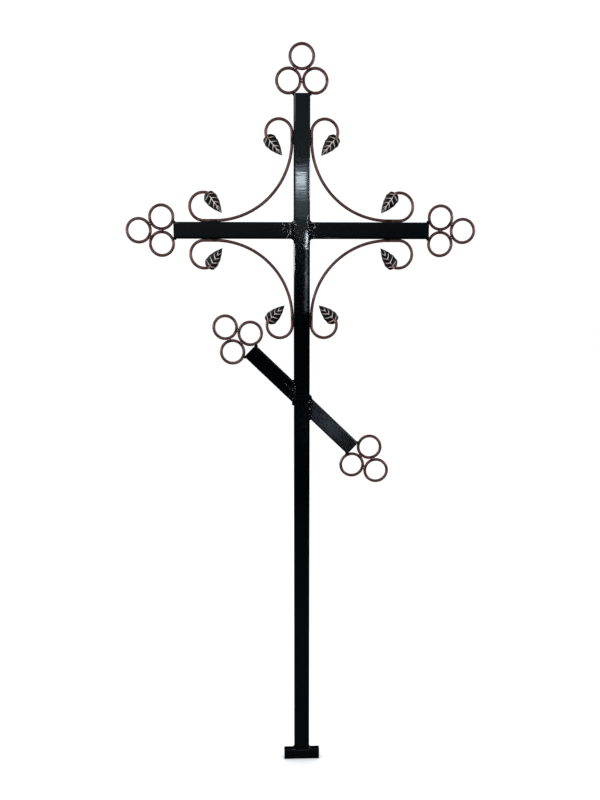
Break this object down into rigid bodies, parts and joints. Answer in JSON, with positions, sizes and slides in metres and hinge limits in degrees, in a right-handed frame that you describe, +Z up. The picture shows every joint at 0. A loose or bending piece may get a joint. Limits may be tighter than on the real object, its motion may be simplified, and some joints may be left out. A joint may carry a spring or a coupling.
{
  "type": "grave cross",
  "caption": "Welded tube grave cross with a level crossbar and a lower slanted bar, ring clusters on the free ends, and C-scrolls with leaves in the corners.",
  "frame": {"origin": "middle of the foot's underside, where the cross is set in the ground", "axes": "+Z up along the post, +X along the crossbar to the viewer's right, -Y out of the front face"},
  "size_m": [0.8582, 0.02, 1.8421],
  "materials": {
    "black_enamel": "gloss black enamel over mild steel tube, faintly blue in its reflections",
    "copper_rod": "black steel rod brushed over with a copper patina, uneven and half gloss",
    "leaf_patina": "black pressed steel with pale copper patina brushed on the raised veins"
  },
  "bodies": {
    "root": {"post": "black_enamel", "arm_left": "black_enamel", "arm_right": "black_enamel", "slant_upper": "black_enamel", "slant_lower": "black_enamel", "foot": "black_enamel", "plate_head": "black_enamel", "plate_left": "black_enamel", "plate_right": "black_enamel", "plate_upper": "black_enamel", "plate_lower": "black_enamel", "plate_foot_left": "black_enamel", "plate_foot_right": "black_enamel", "ring_head_tip": "copper_rod", "ring_head_a": "copper_rod", "ring_head_b": "copper_rod", "ring_left_tip": "copper_rod", "ring_left_a": "copper_rod", "ring_left_b": "copper_rod", "ring_right_tip": "copper_rod", "ring_right_a": "copper_rod", "ring_right_b": "copper_rod", "ring_upper_tip": "copper_rod", "ring_upper_a": "copper_rod", "ring_upper_b": "copper_rod", "ring_lower_tip": "copper_rod", "ring_lower_a": "copper_rod", "ring_lower_b": "copper_rod", "scroll_high_left": "copper_rod", "scroll_high_right": "copper_rod", "scroll_low_left": "copper_rod", "scroll_low_right": "copper_rod", "leaf_high_left_post": "leaf_patina", "leaf_high_left_arm": "leaf_patina", "leaf_high_right_post": "leaf_patina", "leaf_high_right_arm": "leaf_patina", "leaf_low_left_post": "leaf_patina", "leaf_low_left_arm": "leaf_patina", "leaf_low_right_post": "leaf_patina", "leaf_low_right_arm": "leaf_patina"}
  },
  "joints": []
}
